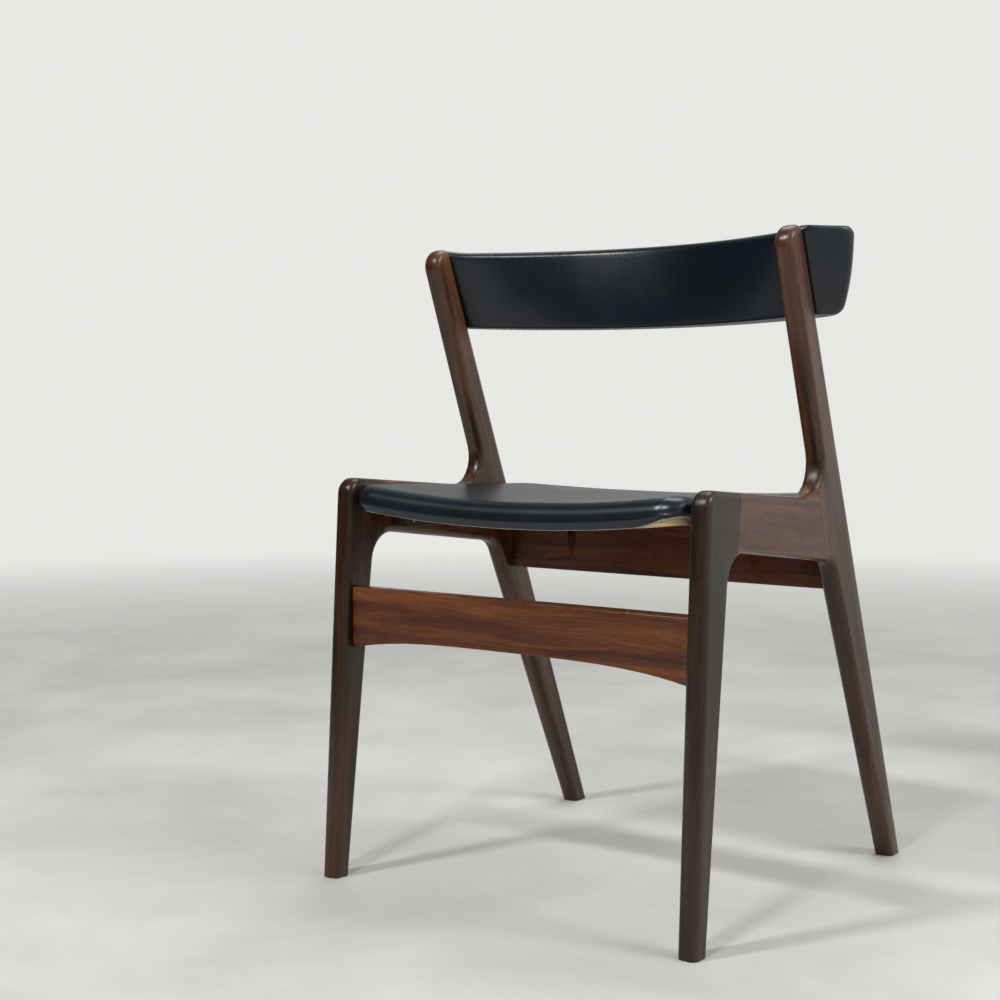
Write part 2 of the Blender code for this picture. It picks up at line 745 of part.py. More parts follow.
def screw_seat(frames, rear_rail, seat_board, root):
    """Seat blocks, their screws and the pocket screws of the rear rail."""
    block_middle = (BLOCK_FRONT + BLOCK_REAR) / 2
    inner = FRAME_X - MEMBER_WIDTH / 2 - CLEARANCE - BLOCK_THICKNESS
    for label, side in SIDES:
        block = build_block(root, label, side)
        rail = frames[label][1]
        x = side * (inner + BLOCK_THICKNESS / 2)
        up = facing((x, back(block_middle), BLOCK_BOTTOM_Z), (0.0, 0.0, 1.0))
        fasten(f"{label}_block_screw", BLOCK_SCREW, up, STEEL, (block, seat_board))
        for number, shift in enumerate((-RAIL_SCREW_SHIFT, RAIL_SCREW_SHIFT), 1):
            spot = (side * inner, back(block_middle + shift), RAIL_SCREW_Z)
            place = facing(spot, (side, 0.0, 0.0))
            name = f"{label}_rail_screw_{number}"
            fasten(name, RAIL_SCREW, place, STEEL, (block, rail))
        head = (side * POCKET_X, back(POCKET_SCREW_DEPTH), POCKET_SCREW_Z)
        place = facing(head, (0.0, 0.0, 1.0))
        fasten(f"{label}_pocket_screw", POCKET_SCREW, place, STEEL, (rear_rail, seat_board))


def bolt_backrest(frames, core, pad, cover):
    """Bolts from the rear posts through the padding into the backrest core."""
    for label, side in SIDES:
        post = frames[label][2]
        for number, z in enumerate(BACK_BOLT_Z, 1):
            x = FRAME_X + REAR_POST_SPLAY * (z - SPLAY_PIVOT_Z)
            level = (z - BAND_BOTTOM_Z) / (BAND_TOP_Z - BAND_BOTTOM_Z)
            below_post = along(POST_REAR, z) - BACK_BOLT_GRIP
            pairs = zip(BAND_REAR_BOTTOM, BAND_REAR_TOP)
            half, end, sag = (low + (high - low) * level for low, high in pairs)
            length = end + sag * (1 - (x / half) ** 2) - BACK_BOLT_COVER - below_post
            profile = ((BACK_BOLT_RADIUS, 0.0), (BACK_BOLT_RADIUS, length))
            place = facing((side * x, back(below_post), z), (0.0, 1.0, 0.0))
            name = f"{label}_back_bolt_{number}"
            fasten(name, profile, place, STEEL, (post, core, pad, cover))


def build_chair():
    """Build every piece of the chair under one empty."""
    clear_scene()
    root = bpy.data.objects.new("chair", None)
    bpy.context.scene.collection.objects.link(root)
    frames = build_side_frames(root)
    stretcher = build_stretcher(root)
    rear_rail = build_rear_rail(root)
    seat_board = build_seat(root)
    core, pad, cover = build_backrest(root)
    dowel_frames(frames)
    dowel_cross_pieces(frames, stretcher, rear_rail)
    screw_seat(frames, rear_rail, seat_board, root)
    bolt_backrest(frames, core, pad, cover)


build_chair()
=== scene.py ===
"""Looks of the dining chair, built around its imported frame.

Metres, +Z up, the front of the seat faces -Y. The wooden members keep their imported
shapes and get grained materials. The seat cushion, the backrest band and its lining
are modelled here and stand for their plain solids.
"""
import math

import bmesh
import bpy
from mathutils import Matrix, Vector, noise


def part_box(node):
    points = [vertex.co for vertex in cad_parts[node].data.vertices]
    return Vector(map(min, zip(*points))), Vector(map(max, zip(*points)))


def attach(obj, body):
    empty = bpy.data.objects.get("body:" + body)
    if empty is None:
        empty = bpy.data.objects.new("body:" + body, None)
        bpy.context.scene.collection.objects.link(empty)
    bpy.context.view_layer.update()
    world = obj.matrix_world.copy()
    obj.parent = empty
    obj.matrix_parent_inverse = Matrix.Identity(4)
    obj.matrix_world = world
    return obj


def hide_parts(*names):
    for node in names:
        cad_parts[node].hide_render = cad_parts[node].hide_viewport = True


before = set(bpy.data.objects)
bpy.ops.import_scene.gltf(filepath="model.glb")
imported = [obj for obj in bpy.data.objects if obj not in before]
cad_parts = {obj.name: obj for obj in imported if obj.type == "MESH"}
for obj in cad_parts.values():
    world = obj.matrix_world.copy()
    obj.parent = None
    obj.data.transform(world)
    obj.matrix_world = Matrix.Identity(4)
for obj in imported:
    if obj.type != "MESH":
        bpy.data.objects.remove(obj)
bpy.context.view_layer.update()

SIDES = (("left", -1), ("right", 1))

# Camera at the photograph's viewing angle.
CAMERA_PLACE = (1.0465, -1.6168, 0.5409)
CAMERA_PITCH = -0.0576
CAMERA_HEADING = 0.6488
CAMERA_LENS = 59.48

# Wood: grain directions of the members, as depth per height in the side view.
LEG_GRAIN = (0.0, 0.087, 1.0)
POST_GRAIN = (0.0, -0.39, 1.0)
RAIL_GRAIN = (0.0, 1.0, -0.09)
WIDTH_GRAIN = (1.0, 0.0, 0.0)
SMOOTH_LIMIT = math.radians(33)
WELD_DISTANCE = 0.000005
NORMAL_WEIGHT = 80
FIGURE_STRETCH = (2.2, 62.0, 62.0)
BROAD_STRETCH = (0.9, 14.0, 14.0)
FIBRE_STRETCH = (24.0, 620.0, 620.0)
PORE_STRETCH = (75.0, 1500.0, 1500.0)
GRAIN_DRIFT = (0.0, 0.020, 0.020)
SEED_SHIFT = (3.7, 1.3, 2.1)
OILED_SHINE = 0.42
OILED_GLOSS = 0.29
BARE_GLOSS = 0.66
BARE_STREAKS = 0.6

# Cloths and board: noise frequencies per metre.
PRESSED_CELLS = 760.0
PRESSED_FINE = 420.0
CLOTH_SLACK = 34.0
CLOTH_DUST = 210.0
WEAVE_PITCH = 260.0
KNIT_PITCH = 900.0
VENEER_STRETCH = (2.0, 2.0, 560.0)
STREAK_STRETCH = (3.0, 90.0, 90.0)

# Seat cushion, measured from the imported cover.
SEAT_CORNER = 0.032
SEAT_REAR_DROP = 0.002
SEAT_DISH_FRONT = 0.30
SEAT_DISH_REAR = 0.10
SEAT_THICKNESS = 0.029
BOARD_THICKNESS = 0.0095
CROWN_RADIUS = 0.0165
COVER_THICKNESS = 0.0011
CUT_EDGE = 0.0005
SEAT_TUCK = 0.0031
LID_GAP = 0.0004

# The torn front corner of the seat cover, on the sitter's left.
TEAR_START = 0.158
TEAR_FULL = 0.214
TEAR_RISE = 0.0088
TEAR_DEPTH = 0.055
CUT_COARSE = (3.0, 420.0, 0.0011)
CUT_FINE = (9.0, 1300.0, 0.0006)
CUT_WANDER = (1.0, 38.0, 0.0003)
CUT_LIFT = 0.0003
FRAY_COARSE = (5.0, 260.0, 0.0011)
FRAY_FINE = (7.0, 900.0, 0.0007)
FRAY_HANG = 0.0010
FRAY_OVERLAP = 0.0009
FRAY_THICKNESS = 0.0003

# Soft shape of the cushion.
SIDE_TUCK = 0.0009
SIDE_PULL = 0.00045
SIDE_PULL_PITCH = 55.0
WORN_HOLLOW = -0.0016
RIPPLE_HEIGHT = 0.0007
CREASE_HEIGHT = 0.0006
CREASE_PITCH = 330.0
LID_SCALES = (0.05, 0.4, 0.8, 1.0)
SIDE_STEPS = 7
CROWN_STEPS = 8
TOP_STEPS = 25


def smooth(value, low, high):
    """Smooth step of a value from 0 at low to 1 at high."""
    share = min(1.0, max(0.0, (value - low) / (high - low)))
    return share * share * (3 - 2 * share)


# ---------------------------------------------------------------- materials


def add(tree, kind, settings=None, inputs=None):
    """Add a shader node; an input is a plain value or another node's output socket."""
    made = tree.nodes.new(kind)
    for key, value in (settings or {}).items():
        setattr(made, key, value)
    for key, value in (inputs or {}).items():
        socket = made.inputs[key]
        if isinstance(value, bpy.types.NodeSocket):
            tree.links.new(value, socket)
        else:
            socket.default_value = value
    return made


def mix_colour(tree, factor, first, second, blend="MIX"):
    """Output of a colour mix."""
    settings = {"data_type": "RGBA", "blend_type": blend}
    return add(tree, "ShaderNodeMix", settings, {0: factor, 6: first, 7: second}).outputs[2]


def ramp(tree, factor, stops):
    """Colour output of a ramp through (position, colour) stops."""
    made = add(tree, "ShaderNodeValToRGB", None, {0: factor})
    line = made.color_ramp
    while len(line.elements) < len(stops):
        line.elements.new(0.5)
    for element, (position, colour) in zip(line.elements, stops):
        element.position = position
        element.color = (*colour, 1.0)
    return made.outputs[0]


def spread(tree, value, low, high, new_low, new_high):
    """A value mapped from one range to another, held inside it."""
    names = {0: value, 1: low, 2: high, 3: new_low, 4: new_high}
    return add(tree, "ShaderNodeMapRange", {"clamp": True}, names).outputs[0]


def stretched(tree, vector, scale):
    """A coordinate scaled by a different amount along each axis."""
    return add(tree, "ShaderNodeMapping", None, {0: vector, 3: scale}).outputs[0]


def cloud(tree, vector, scale, detail, roughness, distortion=0.0):
    """Value of a noise texture."""
    inputs = {
        "Vector": vector, "Scale": scale, "Detail": detail,
        "Roughness": roughness, "Distortion": distortion,
    }
    return add(tree, "ShaderNodeTexNoise", None, inputs).outputs[0]


def bump(tree, height, distance, strength=1.0, normal=None):
    """Normal output of a bump whose height is in metres at strength 1."""
    made = add(tree, "ShaderNodeBump", None, {"Strength": strength, "Distance": distance, "Height": height})
    if normal is not None:
        tree.links.new(normal, made.inputs["Normal"])
    return made.outputs[0]


def new_material(name, roughness=0.5, specular=0.5):
    """A fresh material with its tree, its shader and the object coordinates."""
    made = bpy.data.materials.new(name)
    made.use_nodes = True
    tree = made.node_tree
    shader = tree.nodes["Principled BSDF"]
    shader.inputs["Roughness"].default_value = roughness
    shader.inputs["Specular IOR Level"].default_value = specular
    place = tree.nodes.new("ShaderNodeTexCoord").outputs["Object"]
    return made, tree, shader, place


def wood(name, grain, tones, seed, gloss=OILED_GLOSS, streaks=1.0):
    """Oiled hardwood: drifting figure, fine fibres and pores along the grain."""
    made, tree, shader, place = new_material(name, specular=OILED_SHINE)
    turn = Vector(grain).to_track_quat("X", "Z").inverted().to_euler()
    inputs = {0: place, 1: tuple(seed * share for share in SEED_SHIFT), 2: turn}
    along = add(tree, "ShaderNodeMapping", None, inputs).outputs[0]
    drift = add(tree, "ShaderNodeTexNoise", None, {"Vector": along, "Scale": 5.0, "Detail": 2.0})
    drift_shift = add(
        tree, "ShaderNodeVectorMath", {"operation": "MULTIPLY"},
        {0: drift.outputs[1], 1: GRAIN_DRIFT},
    ).outputs[0]
    bent = add(tree, "ShaderNodeVectorMath", {"operation": "ADD"}, {0: along, 1: drift_shift}).outputs[0]
    figure = cloud(tree, stretched(tree, bent, FIGURE_STRETCH), 1.0, 5.0, 0.62, 0.4)
    broad = cloud(tree, stretched(tree, bent, BROAD_STRETCH), 1.0, 2.0, 0.5)
    fibre = cloud(tree, stretched(tree, bent, FIBRE_STRETCH), 1.0, 3.0, 0.6)
    pore = cloud(tree, stretched(tree, bent, PORE_STRETCH), 1.0, 1.0, 0.5)
    blend = add(tree, "ShaderNodeMath", {"operation": "MULTIPLY_ADD"}, {0: broad, 1: 0.45, 2: figure})
    level = spread(tree, blend.outputs[0], 0.52, 0.98, 0.0, 1.0)
    dark, middle, light = tones
    colour = ramp(tree, level, ((0.06, dark), (0.46, middle), (0.94, light)))
    thread = spread(tree, fibre, 0.30, 0.70, 1.0 - 0.24 * streaks, 1.0 + 0.20 * streaks)
    shaded = add(tree, "ShaderNodeVectorMath", {"operation": "SCALE"}, {0: colour, 3: thread}).outputs[0]
    open_pore = spread(tree, pore, 0.60, 0.68, 0.0, 0.55)
    hollow = tuple(0.30 * channel for channel in dark) + (1.0,)
    stained = mix_colour(tree, open_pore, shaded, hollow)
    tree.links.new(stained, shader.inputs["Base Color"])
    wear = cloud(tree, place, 26.0, 3.0, 0.6)
    polish = spread(tree, wear, 0.3, 0.7, gloss - 0.06, gloss + 0.09)
    tree.links.new(polish, shader.inputs["Roughness"])
    closed = spread(tree, pore, 0.58, 0.70, 1.0, 0.0)
    relief = bump(tree, closed, 0.00006, 0.6)
    relief = bump(tree, fibre, 0.00010, 0.5, relief)
    relief = bump(tree, cloud(tree, place, 60.0, 2.0, 0.5), 0.0006, 0.10, relief)
    tree.links.new(relief, shader.inputs["Normal"])
    return made


def leathercloth():
    """Aged black-blue leathercloth with a fine pressed grain and a soft shine."""
    made, tree, shader, place = new_material("leathercloth", 0.34, 0.5)
    patch = cloud(tree, place, 9.0, 3.0, 0.55)
    tint = ramp(tree, patch, ((0.30, (0.0016, 0.0036, 0.0075)), (0.70, (0.0030, 0.0070, 0.0140))))
    dust = spread(tree, cloud(tree, place, CLOTH_DUST, 4.0, 0.7), 0.58, 0.80, 0.0, 0.05)
    dusty = mix_colour(tree, dust, tint, (0.055, 0.065, 0.080, 1.0))
    tree.links.new(dusty, shader.inputs["Base Color"])
    rub = cloud(tree, place, 17.0, 4.0, 0.6)
    tree.links.new(spread(tree, rub, 0.32, 0.68, 0.29, 0.335), shader.inputs["Roughness"])
    settings = {"feature": "SMOOTH_F1", "distance": "EUCLIDEAN"}
    inputs = {"Vector": place, "Scale": PRESSED_CELLS, "Smoothness": 0.5}
    cell = add(tree, "ShaderNodeTexVoronoi", settings, inputs)
    grain = bump(tree, cell.outputs["Distance"], 0.00022, 0.32)
    fine = cloud(tree, place, PRESSED_FINE, 3.0, 0.6)
    grain = bump(tree, fine, 0.00020, 0.25, grain)
    slack = cloud(tree, place, CLOTH_SLACK, 2.0, 0.45)
    grain = bump(tree, slack, 0.0022, 0.06, grain)
    tree.links.new(grain, shader.inputs["Normal"])
    return made


def cloth_backing():
    """Off-white knitted backing that shows where the leathercloth is cut."""
    made, tree, shader, place = new_material("cloth_backing", 0.9, 0.2)
    mottle = cloud(tree, place, KNIT_PITCH, 3.0, 0.6)
    colour = ramp(tree, mottle, ((0.35, (0.30, 0.32, 0.34)), (0.65, (0.62, 0.63, 0.62))))
    tree.links.new(colour, shader.inputs["Base Color"])
    tree.links.new(bump(tree, mottle, 0.0004, 0.6), shader.inputs["Normal"])
    return made


def plywood():
    """Pale pressed plywood with thin veneer layers along its edges."""
    made, tree, shader, place = new_material("plywood_layers", 0.62, 0.35)
    streak = cloud(tree, stretched(tree, place, STREAK_STRETCH), 1.0, 4.0, 0.6)
    face = ramp(tree, streak, ((0.3, (0.40, 0.26, 0.12)), (0.7, (0.58, 0.42, 0.23))))
    layer = cloud(tree, stretched(tree, place, VENEER_STRETCH), 1.0, 1.0, 0.4)
    band = spread(tree, layer, 0.42, 0.62, 0.75, 1.10)
    shaded = add(tree, "ShaderNodeVectorMath", {"operation": "SCALE"}, {0: face, 3: band}).outputs[0]
    tree.links.new(shaded, shader.inputs["Base Color"])
    tree.links.new(bump(tree, streak, 0.0003, 0.4), shader.inputs["Normal"])
    return made


def lining():
    """Thin grey woven lining cloth."""
    made, tree, shader, place = new_material("woven_lining", 0.88, 0.25)
    waves = []
    for axis in ("X", "Y"):
        settings = {"wave_type": "BANDS", "bands_direction": axis}
        inputs = {"Vector": place, "Scale": WEAVE_PITCH, "Distortion": 0.6, "Detail": 1.0}
        waves.append(add(tree, "ShaderNodeTexWave", settings, inputs).outputs[1])
    woven = add(tree, "ShaderNodeMath", {"operation": "MAXIMUM"}, {0: waves[0], 1: waves[1]}).outputs[0]
    colour = ramp(tree, woven, ((0.2, (0.20, 0.20, 0.20)), (0.9, (0.46, 0.46, 0.44))))
    stain = cloud(tree, place, 40.0, 3.0, 0.6)
    soiled = mix_colour(tree, spread(tree, stain, 0.4, 0.7, 0.0, 0.35), colour, (0.17, 0.15, 0.12, 1.0))
    tree.links.new(soiled, shader.inputs["Base Color"])
    tree.links.new(bump(tree, woven, 0.0003, 0.7), shader.inputs["Normal"])
    return made


def plain_wood(name, dark, light, grain, seed):
    """Bare planed wood."""
    middle = tuple((a + b) / 2 for a, b in zip(dark, light))
    return wood(name, grain, (dark, middle, light), seed, BARE_GLOSS, BARE_STREAKS)


def zinc():
    """Zinc-plated steel with fine scratches."""
    made, tree, shader, place = new_material("zinc_steel", 0.34)
    shader.inputs["Metallic"].default_value = 1.0
    haze = cloud(tree, place, 420.0, 3.0, 0.6)
    colour = ramp(tree, haze, ((0.3, (0.38, 0.38, 0.36)), (0.7, (0.60, 0.60, 0.57))))
    tree.links.new(colour, shader.inputs["Base Color"])
    tree.links.new(spread(tree, haze, 0.3, 0.7, 0.26, 0.50), shader.inputs["Roughness"])
    return made


def floor_material():
    """Pale mottled floor that fades into the background away from the chair."""
    made, tree, shader, place = new_material("pale_floor", 0.55, 0.3)
    mottle = cloud(tree, place, 2.6, 7.0, 0.62, 0.3)
    colour = ramp(tree, mottle, ((0.32, (0.49, 0.49, 0.475)), (0.66, (0.62, 0.62, 0.605))))
    tree.links.new(colour, shader.inputs["Base Color"])
    length = add(tree, "ShaderNodeVectorMath", {"operation": "LENGTH"}, {0: place}).outputs["Value"]
    fade = spread(tree, length, FLOOR_FADE_START, FLOOR_FADE_END, 0.0, 1.0)
    clear = tree.nodes.new("ShaderNodeBsdfTransparent").outputs[0]
    both = add(tree, "ShaderNodeMixShader", None, {0: fade, 1: shader.outputs[0], 2: clear})
    tree.links.new(both.outputs[0], tree.nodes["Material Output"].inputs["Surface"])
    return made


# ---------------------------------------------------------------- geometry tools


def mesh_object(name, bm, materials):
    """A smooth-shaded piece on the chair's body."""
    bmesh.ops.recalc_face_normals(bm, faces=bm.faces)
    mesh = bpy.data.meshes.new(name)
    bm.to_mesh(mesh)
    bm.free()
    mesh.shade_smooth()
    for item in materials:
        mesh.materials.append(item)
    piece = bpy.data.objects.new(name, mesh)
    bpy.context.scene.collection.objects.link(piece)
    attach(piece, "root")
    return piece


def loft(rings):
    """Closed mesh through rings of equal point count; also returns the vertex rings."""
    bm = bmesh.new()
    loops = [[bm.verts.new(point) for point in ring] for ring in rings]
    for lower, upper in zip(loops, loops[1:]):
        for index in range(len(lower)):
            following = (index + 1) % len(lower)
            bm.faces.new((lower[index], lower[following], upper[following], upper[index]))
    bm.faces.new(reversed(loops[0]))
    bm.faces.new(loops[-1])
    return bm, loops


def soften(item):
    """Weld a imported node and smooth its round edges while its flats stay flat."""
    weld = item.modifiers.new("weld", "WELD")
    weld.merge_threshold = WELD_DISTANCE
    group = smooth_group()
    nodes = item.modifiers.new("smooth", "NODES")
    nodes.node_group = group
    even = item.modifiers.new("even_normals", "WEIGHTED_NORMAL")
    even.keep_sharp = True
    even.weight = NORMAL_WEIGHT


def smooth_group():
    """Geometry nodes that shade smooth except across sharp edges."""
    found = bpy.data.node_groups.get("smooth_by_angle")
    if found:
        return found
    group = bpy.data.node_groups.new("smooth_by_angle", "GeometryNodeTree")
    group.interface.new_socket("Geometry", in_out="INPUT", socket_type="NodeSocketGeometry")
    group.interface.new_socket("Geometry", in_out="OUTPUT", socket_type="NodeSocketGeometry")
    source = group.nodes.new("NodeGroupInput").outputs[0]
    faces = add(group, "GeometryNodeSetShadeSmooth", {"domain": "FACE"}, {"Geometry": source})
    angle = group.nodes.new("GeometryNodeInputMeshEdgeAngle").outputs[0]
    sharp = add(group, "FunctionNodeCompare", {"operation": "GREATER_THAN"}, {0: angle, 1: SMOOTH_LIMIT})
    edges = add(
        group, "GeometryNodeSetShadeSmooth", {"domain": "EDGE"},
        {"Geometry": faces.outputs[0], "Selection": sharp.outputs[0], "Shade Smooth": False},
    )
    sink = group.nodes.new("NodeGroupOutput")
    group.links.new(edges.outputs[0], sink.inputs[0])
    return group


def dress(node, material):
    """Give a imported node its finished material."""
    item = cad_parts[node]
    item.data.materials.clear()
    item.data.materials.append(material)
    soften(item)


# ---------------------------------------------------------------- seat cushion

seat_low, seat_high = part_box("seat_cover")
SEAT_HALF = seat_high.x
SEAT_FRONT = seat_low.y
SEAT_REAR = seat_high.y
SEAT_BASE = seat_low.z + SEAT_REAR_DROP
RING_CORNER_STEPS = 14
RING_SIDE_STEPS = 44


def seat_dish(x, y):
    """Height of the underside of the dished seat board."""
    share = (y - SEAT_FRONT) / (SEAT_REAR - SEAT_FRONT)
    dish = SEAT_DISH_FRONT + (SEAT_DISH_REAR - SEAT_DISH_FRONT) * share
    return SEAT_BASE - SEAT_REAR_DROP * share + dish * x * x


def seat_plan(inset):
    """Points of the seat's rounded rectangle, the same count for every inset."""
    half = SEAT_HALF - inset
    reach = (SEAT_REAR - SEAT_FRONT) / 2 - inset
    middle = (SEAT_REAR + SEAT_FRONT) / 2
    radius = SEAT_CORNER - inset
    arcs = []
    for turn in range(4):
        sign_x = 1 if turn in (0, 3) else -1
        sign_y = 1 if turn in (0, 1) else -1
        arc = []
        for step in range(RING_CORNER_STEPS + 1):
            angle = math.pi / 2 * (turn + step / RING_CORNER_STEPS)
            x = sign_x * (half - radius) + radius * math.cos(angle)
            y = middle + sign_y * (reach - radius) + radius * math.sin(angle)
            arc.append(Vector((x, y, 0.0)))
        arcs.append(arc)
    plan = []
    for turn, arc in enumerate(arcs):
        following = arcs[(turn + 1) % 4]
        plan += arc
        for step in range(1, RING_SIDE_STEPS):
            plan.append(arc[-1].lerp(following[0], step / RING_SIDE_STEPS))
    return plan


def tear_mask(x, y):
    """1 at the torn front corner of the cover, 0 elsewhere."""
    return smooth(x, TEAR_START, TEAR_FULL) * (1 - smooth(y, SEAT_FRONT + 0.012, SEAT_FRONT + TEAR_DEPTH))


def waver(x, y, kind):
    """Uneven height at a place, for a (seed, frequency, height) kind."""
    seed, frequency, height = kind
    return noise.noise(Vector((x * frequency, y * frequency, seed))) * height


def edge_lift(x, y):
    """How far the cut edge of the cover stands above the board's underside."""
    mask = tear_mask(x, y)
    ragged = waver(x, y, CUT_COARSE)
    ragged += waver(x, y, CUT_FINE)
    wander = waver(x, y, CUT_WANDER)
    lift = TEAR_RISE * mask + ragged * smooth(mask, 0.0, 0.25) + wander + CUT_LIFT
    return min(TEAR_RISE + 0.0002, max(0.0, lift))


def side_swell(x, y, share):
    """Outward swell and pull marks of the cushion's side, by its height share."""
    front = 1 - smooth(y, SEAT_FRONT, SEAT_FRONT + 0.04)
    pull = noise.noise(Vector((x * SIDE_PULL_PITCH, 0.0, 4.0))) * SIDE_PULL * front
    tuck = math.sin(math.pi * min(1.0, share)) * SIDE_TUCK
    return tuck + pull * math.sin(math.pi * min(1.0, share * 0.9))


def top_relief(x, y):
    """Soft hollows, pull wrinkles and the worn middle of the seat's top."""
    across = x / SEAT_HALF
    back = (y - SEAT_FRONT) / (SEAT_REAR - SEAT_FRONT)
    worn = WORN_HOLLOW * math.exp(-((across / 0.62) ** 2 + ((back - 0.52) / 0.42) ** 2) * 1.6)
    ripple = noise.noise(Vector((x * 14.0, y * 11.0, 2.0))) * RIPPLE_HEIGHT
    corner = math.exp(-(((x - 0.185) / 0.045) ** 2 + ((y - SEAT_FRONT - 0.016) / 0.026) ** 2))
    bend = 2.2 * noise.noise(Vector((x * 40, y * 40, 6)))
    crease = math.sin((x - 0.6 * y) * CREASE_PITCH + bend) * CREASE_HEIGHT
    return worn + ripple + crease * corner


def seat_ring(inset, height, share=0.0, scale=1.0, relief=0.0):
    """One ring of the cushion at an inset and a height above the dished underside."""
    ring = []
    middle = (SEAT_REAR + SEAT_FRONT) / 2
    for point in seat_plan(inset):
        x = point.x * scale
        y = middle + (point.y - middle) * scale
        z = seat_dish(x, y) + height + relief * top_relief(x, y)
        ring.append(Vector((x, y, z)))
    if share > 0.0:
        centre = Vector((0.0, middle, 0.0))
        for point in ring:
            outward = (point - centre)
            outward.z = 0.0
            point += outward.normalized() * side_swell(point.x, point.y, share)
    return ring


def seat_rings():
    """Rings of the closed cushion, from inside its underside over the top."""
    lid = BOARD_THICKNESS + LID_GAP
    rings = [seat_ring(SEAT_TUCK + COVER_THICKNESS, lid, 0.0, scale) for scale in LID_SCALES]
    inner = seat_ring(SEAT_TUCK + COVER_THICKNESS, 0.0)
    bevel = seat_ring(SEAT_TUCK, 0.0)
    lower = seat_ring(SEAT_TUCK, 0.0)
    for ring, extra in ((inner, 0.0), (bevel, CUT_EDGE), (lower, CUT_EDGE + 0.0008)):
        for point in ring:
            point.z += edge_lift(point.x, point.y) + extra
    rings += [inner, bevel, lower]
    crown_start = SEAT_THICKNESS - CROWN_RADIUS
    for step in range(1, SIDE_STEPS):
        share = step / SIDE_STEPS
        inset = SEAT_TUCK * (1 - math.sin(math.pi / 2 * min(1.0, share * 1.2)))
        ring = seat_ring(inset, 0.0, share)
        for point, base in zip(ring, lower):
            top = seat_dish(point.x, point.y) + crown_start
            point.z = base.z + (top - base.z) * share
        rings.append(ring)
    for step in range(CROWN_STEPS + 1):
        angle = math.pi / 2 * step / CROWN_STEPS
        inset = CROWN_RADIUS * (1 - math.cos(angle))
        lift = crown_start + CROWN_RADIUS * math.sin(angle)
        rings.append(seat_ring(inset, lift, 0.0, 1.0, smooth(step, 2, CROWN_STEPS)))
    for step in range(1, TOP_STEPS + 1):
        scale = 1.0 - step / (TOP_STEPS + 0.4)
        rings.append(seat_ring(CROWN_RADIUS, SEAT_THICKNESS, 0.0, scale, 1.0))
    return rings


def build_seat(cover, backing):
    """The seat cushion, with the pale cut edge of its cover."""
    rings = seat_rings()
    bm, loops = loft(rings)
    edge_rings = {id(vertex): number for number in (4, 5) for vertex in loops[number]}
    for face in bm.faces:
        if all(id(vertex) in edge_rings for vertex in face.verts):
            face.material_index = 1
    cushion = mesh_object("seat_cushion", bm, (cover, backing))
    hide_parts("seat_cover", "seat_foam")
    return cushion


def build_fray(backing):
    """Ragged strip of the knitted backing below the torn corner of the cover."""
    outer, inner = [], []
    plan = seat_plan(SEAT_TUCK + COVER_THICKNESS * 0.9)
    inside = seat_plan(SEAT_TUCK + COVER_THICKNESS * 0.9 + FRAY_THICKNESS)
    for point, deep in zip(plan, inside):
        mask = tear_mask(point.x, point.y)
        if mask < 0.04 or point.y > SEAT_FRONT + TEAR_DEPTH * 0.7:
            continue
        base = seat_dish(point.x, point.y)
        upper = base + edge_lift(point.x, point.y) + FRAY_OVERLAP
        hang = FRAY_HANG + waver(point.x, point.y, FRAY_COARSE) + waver(point.x, point.y, FRAY_FINE)
        lower = upper - FRAY_OVERLAP - max(0.0002, hang)
        outer.append((Vector((point.x, point.y, upper)), Vector((point.x, point.y, lower))))
        inner.append((Vector((deep.x, deep.y, upper)), Vector((deep.x, deep.y, lower))))
    rings = []
    for (top, low), (deep_top, deep_low) in zip(outer, inner):
        rings.append([top, low, deep_low, deep_top])
    bm, _ = loft(rings)
    return mesh_object("seat_torn_backing", bm, (backing,))


# ---------------------------------------------------------------- backrest band

band_low, band_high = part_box("backrest_cover")
_, post_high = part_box("right_rear_post")
BAND_TOP_Z = band_high.z
BAND_CENTRE_DROP = 0.0055
BAND_BOTTOM_Z = band_low.z + BAND_CENTRE_DROP
POST_REAR_SLOPE = -0.3975
POST_REAR_FLOOR = post_high.y
BAND_FRONT_GAP = 0.0006
BAND_HALF_FRONT = 0.2485
BAND_CONTACT_HALF = 0.2365
BAND_SAG_TOP = 0.085
BAND_SAG_BOTTOM = 0.045
BAND_REAR_TOP = (0.2920, 0.010, 0.074)
BAND_REAR_BOTTOM = (0.2735, 0.0215, 0.0585)
BAND_TOP_RADIUS = 0.0072
BAND_FOOT_RADIUS = 0.0030
BAND_REAR_RADIUS = 0.0035
BAND_TAIL_RADIUS = 0.0120
BAND_END_LENGTH = 0.018
BAND_END_FRONT = 0.0045
BAND_END_REAR = 0.0170
BAND_STATIONS = 120
FRONT_SWELL = 0.0024
REAR_SWELL = 0.0016
END_SWELL = 0.0065
END_RISE = 0.0028
LINING_MARGIN = 0.0045
LINING_RECESS = 0.0012
LINING_TAPER = 0.17
LINING_END = 0.975
LINING_THICKNESS = 0.0008
LINING_STATIONS = 140
FOOT_STEPS = 5
HEAD_STEPS = 8
FACE_POINTS = 14
TOP_POINTS = 6
UNDER_POINTS = 5
END_STEPS = 8
FRONT_COUNT = FOOT_STEPS + HEAD_STEPS + FACE_POINTS + TOP_POINTS // 2 + 2
TAIL_EXTRA = 0.003
SWELL_DRIFT = 0.0005
CAP_SCALES = (0.82, 0.55, 0.25, 0.04)
FREE_SPAN = (0.165, 0.222)
TAIL_SPAN = (0.93, 1.0)
OUTER_SPAN = (0.72, 1.0)
RISE_SPAN = (0.85, 0.97)
CORNER_SPAN = (0.86, 1.0)
LIP_SHARE = 0.02
LIP_TUCK = 0.00035
LIP_PITCH = 210.0
LINING_SHORT = 0.004
PUCKER_HEIGHT = 0.0002
PUCKER_PITCH = 260.0
